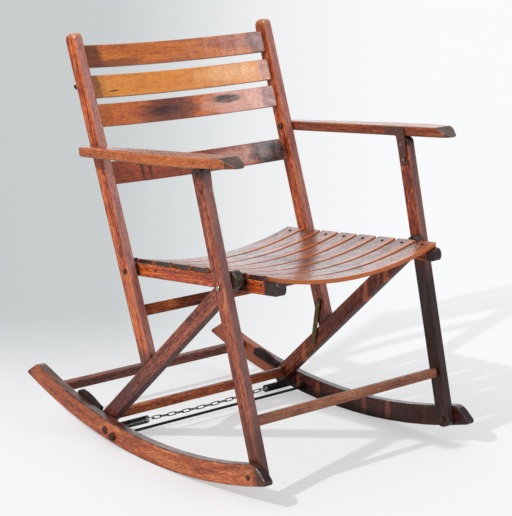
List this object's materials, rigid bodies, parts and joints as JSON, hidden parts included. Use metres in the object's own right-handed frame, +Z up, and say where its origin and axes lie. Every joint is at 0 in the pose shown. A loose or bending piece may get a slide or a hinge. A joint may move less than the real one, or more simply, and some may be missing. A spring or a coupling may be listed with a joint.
{
  "type": "folding rocking chair",
  "caption": "Wooden folding rocking chair with a dished slatted seat, a slatted back, flat arms, bowed rockers, and springs and a chain between the rockers.",
  "frame": {"origin": "on the floor, at the middle of the chair's footprint", "axes": "+Z up, -Y to the chair's front, +X to the sitter's left"},
  "size_m": [0.6456, 0.8114, 0.8388],
  "materials": {
    "rocker_wood": "oil-worn varnish",
    "dark_wood": "rough, stained",
    "leg_wood": "aged varnish",
    "brace_wood": "aged varnish",
    "post_wood": "aged varnish",
    "slat_wood": "aged varnish",
    "stretcher_wood": "aged varnish",
    "rail_wood": "aged varnish",
    "seat_wood": "worn, glossy varnish",
    "arm_wood": "worn, glossy varnish",
    "black_iron": "blackened iron",
    "aged_steel": "dull, aged",
    "dull_brass": "tarnished"
  },
  "bodies": {
    "base": {"rocker_left": "rocker_wood", "rocker_right": "rocker_wood", "foot_cleat_left": "dark_wood", "foot_cleat_right": "dark_wood", "front_leg_left": "leg_wood", "front_leg_right": "leg_wood", "brace_left": "brace_wood", "brace_right": "brace_wood", "rear_stretcher": "stretcher_wood", "foot_stretcher": "stretcher_wood", "front_stretcher": "stretcher_wood", "foot_bolt_left": "black_iron", "foot_bolt_right": "black_iron", "knee_bolt_left": "black_iron", "knee_bolt_right": "black_iron", "wrist_screw_left": "aged_steel", "wrist_screw_right": "aged_steel", "stop_screw_left": "aged_steel", "stop_screw_right": "aged_steel", "latch_pivot_left": "aged_steel", "latch_pivot_right": "aged_steel", "tie_rod": "black_iron", "eye_bolt_left": "black_iron", "eye_bolt_right": "black_iron", "spring_left": "black_iron", "spring_right": "black_iron", "link_chain": "black_iron"},
    "seat": {"seat_rail_left": "rail_wood", "seat_rail_right": "rail_wood", "seat_slat_1": "seat_wood", "seat_slat_2": "seat_wood", "seat_slat_3": "seat_wood", "seat_slat_4": "seat_wood", "seat_slat_5": "seat_wood", "seat_slat_6": "seat_wood", "seat_slat_7": "seat_wood", "seat_slat_8": "seat_wood", "seat_cross_1": "rail_wood", "seat_cross_2": "rail_wood", "hip_bolt_left": "black_iron", "hip_bolt_right": "black_iron"},
    "back": {"back_post_left": "post_wood", "back_post_right": "post_wood", "back_slat_1": "slat_wood", "back_slat_2": "slat_wood", "back_slat_3": "slat_wood", "back_slat_4": "slat_wood", "back_stretcher": "stretcher_wood", "post_hook": "black_iron"},
    "arm_left": {"arm_left": "arm_wood", "elbow_stud_left": "black_iron", "arm_plate_left": "aged_steel"},
    "arm_right": {"arm_right": "arm_wood", "elbow_stud_right": "black_iron", "arm_plate_right": "aged_steel"},
    "latch_left": {"latch_strap_left": "dull_brass", "latch_pin_left": "aged_steel"},
    "latch_right": {"latch_strap_right": "dull_brass", "latch_pin_right": "aged_steel"}
  },
  "joints": [
    {"name": "seat_fold", "type": "hinge", "parent": "base", "child": "seat", "pos_m": [0, -0.2587, 0.4], "axis": [1, 0, 0], "range_deg": [0, 50]},
    {"name": "back_fold", "type": "hinge", "parent": "seat", "child": "back", "pos_m": [0, 0.0576, 0.3725], "axis": [1, 0, 0], "range_deg": [-44.73, 0]},
    {"name": "arm_left_fold", "type": "hinge", "parent": "base", "child": "arm_left", "pos_m": [0, -0.2068, 0.6084], "axis": [1, 0, 0], "range_deg": [0, 47.27]},
    {"name": "arm_right_fold", "type": "hinge", "parent": "base", "child": "arm_right", "pos_m": [0, -0.2068, 0.6084], "axis": [1, 0, 0], "range_deg": [0, 47.27]},
    {"name": "latch_left_turn", "type": "hinge", "parent": "base", "child": "latch_left", "pos_m": [0, 0.0241, 0.145], "axis": [1, 0, 0], "range_deg": [-100, 0]},
    {"name": "latch_right_turn", "type": "hinge", "parent": "base", "child": "latch_right", "pos_m": [0, 0.0241, 0.145], "axis": [1, 0, 0], "range_deg": [-100, 0]}
  ],
  "couplings": [
    {"joint": "back_fold", "follows": "seat_fold", "ratio": -0.8947},
    {"joint": "arm_left_fold", "follows": "seat_fold", "ratio": 0.9455},
    {"joint": "arm_right_fold", "follows": "seat_fold", "ratio": 0.9455}
  ]
}
